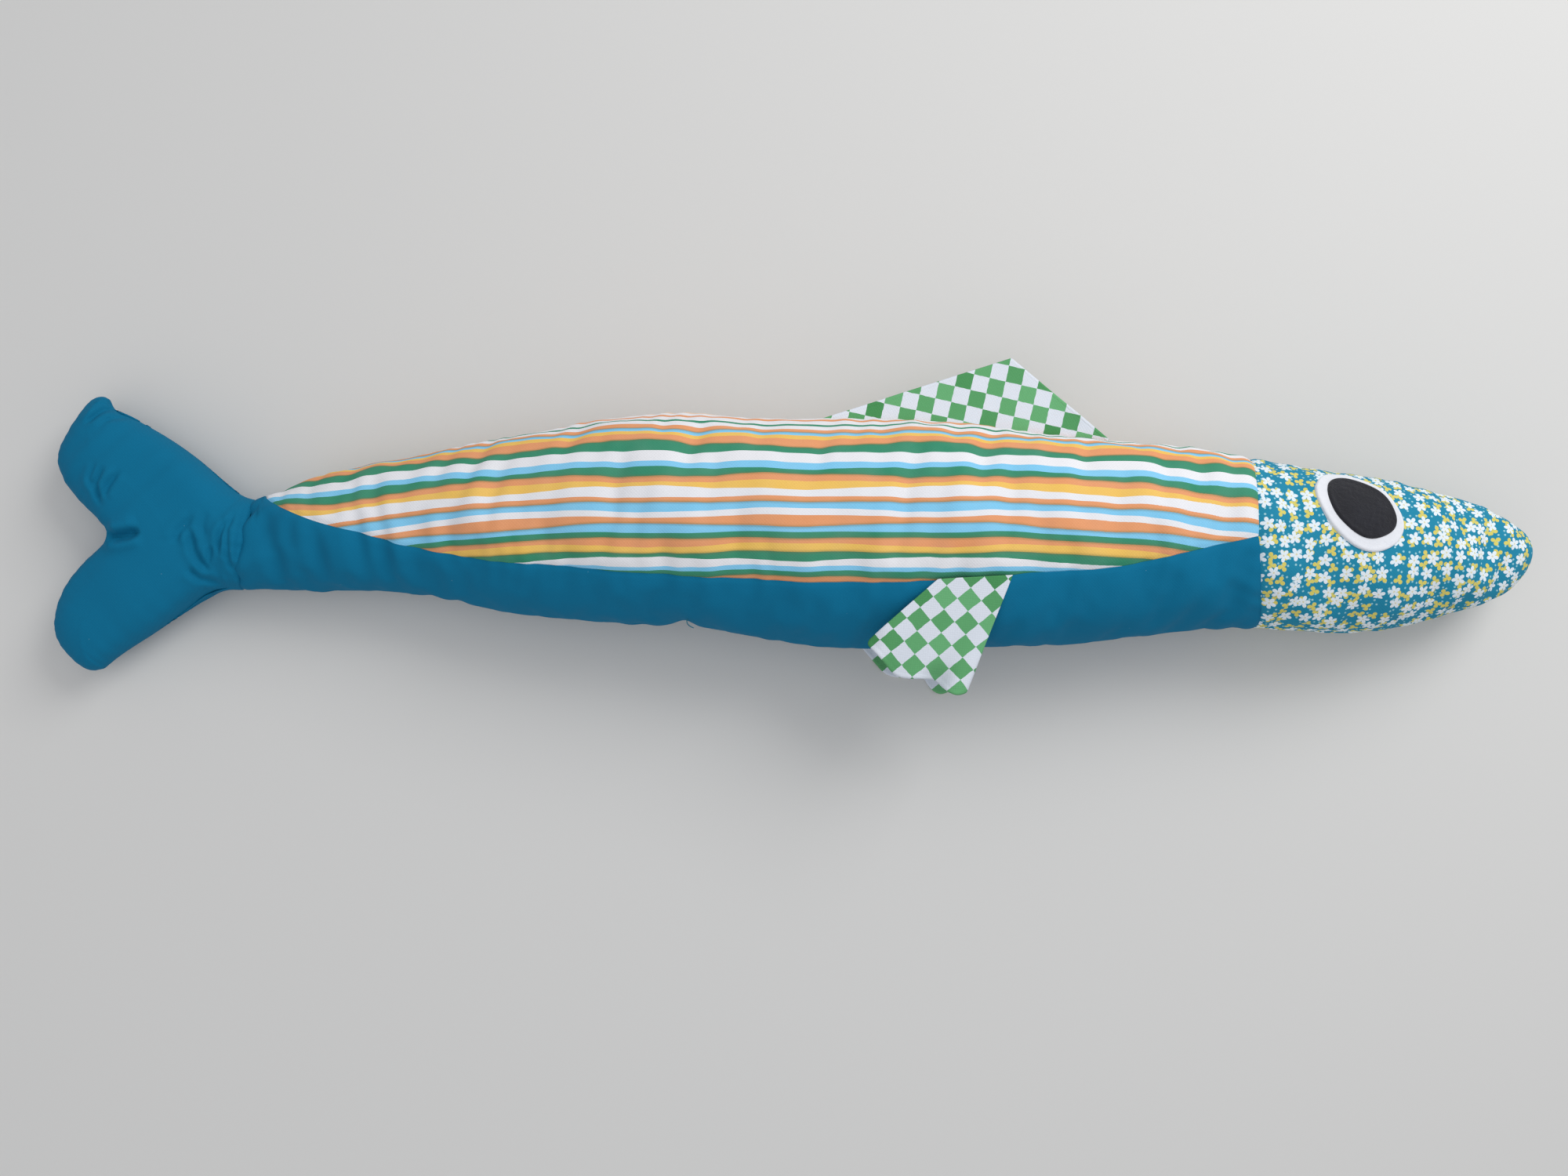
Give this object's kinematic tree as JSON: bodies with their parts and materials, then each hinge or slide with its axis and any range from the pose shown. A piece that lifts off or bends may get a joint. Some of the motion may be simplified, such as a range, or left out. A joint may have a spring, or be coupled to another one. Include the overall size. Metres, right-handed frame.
{
  "type": "stuffed fabric fish cushion",
  "caption": "Long stuffed fabric fish with a forked tail, check fins, striped back, plain belly, floral head and felt eyes, lying on its side.",
  "frame": {"origin": "on the floor, under the middle of the bounding box", "axes": "+X to the snout, +Y to the back (dorsal side), +Z out of the upper, right flank"},
  "size_m": [0.8999, 0.204, 0.0998],
  "materials": {
    "striped_cotton": "plain-weave cotton, printed wavy stripes",
    "teal_cotton": "plain-weave cotton, matt",
    "floral_cotton": "plain-weave cotton, small printed flowers",
    "check_cotton": "plain-weave cotton, printed 10 mm checks",
    "white_felt": "felt",
    "black_wool": "looped wool",
    "fibre_filling": "loose polyester fibre",
    "sewing_thread": "polyester thread"
  },
  "bodies": {
    "body": {"back_panel_right": "striped_cotton", "back_panel_left": "striped_cotton", "belly_panel_right": "teal_cotton", "belly_panel_left": "teal_cotton", "head_panel_right": "floral_cotton", "head_panel_left": "floral_cotton", "body_stuffing": "fibre_filling", "eye_white_right": "white_felt", "eye_white_left": "white_felt", "pupil_right": "black_wool", "pupil_left": "black_wool", "closing_stitches": "sewing_thread"},
    "tail": {"tail_panel_right": "teal_cotton", "tail_panel_left": "teal_cotton", "tail_stuffing": "fibre_filling"},
    "dorsal_fin": {"dorsal_fin_right_face": "check_cotton", "dorsal_fin_left_face": "check_cotton"},
    "pectoral_fin_right": {"pectoral_fin_right_outer": "check_cotton", "pectoral_fin_right_lining": "check_cotton"},
    "pectoral_fin_left": {"pectoral_fin_left_outer": "check_cotton", "pectoral_fin_left_lining": "check_cotton"}
  },
  "joints": [
    {"name": "tail_swing", "type": "hinge", "parent": "body", "child": "tail", "pos_m": [-0.33, 0, 0.024], "axis": [0, 1, 0], "range_deg": [-30, 30]},
    {"name": "dorsal_fin_fold", "type": "hinge", "parent": "body", "child": "dorsal_fin", "pos_m": [0.018, 0.0684, 0.0485], "axis": [0.9977, -0.0673, 0], "range_deg": [-75, 75]},
    {"name": "pectoral_fin_right_lift", "type": "hinge", "parent": "body", "child": "pectoral_fin_right", "pos_m": [0.0826, -0.0295, 0.0966], "axis": [-0.9985, -0.0541, 0], "range_deg": [-4, 110]},
    {"name": "pectoral_fin_left_lift", "type": "hinge", "parent": "body", "child": "pectoral_fin_left", "pos_m": [0.083, -0.033, 0.0009], "axis": [0.9985, 0.0541, 0], "range_deg": [-12, 110]}
  ]
}
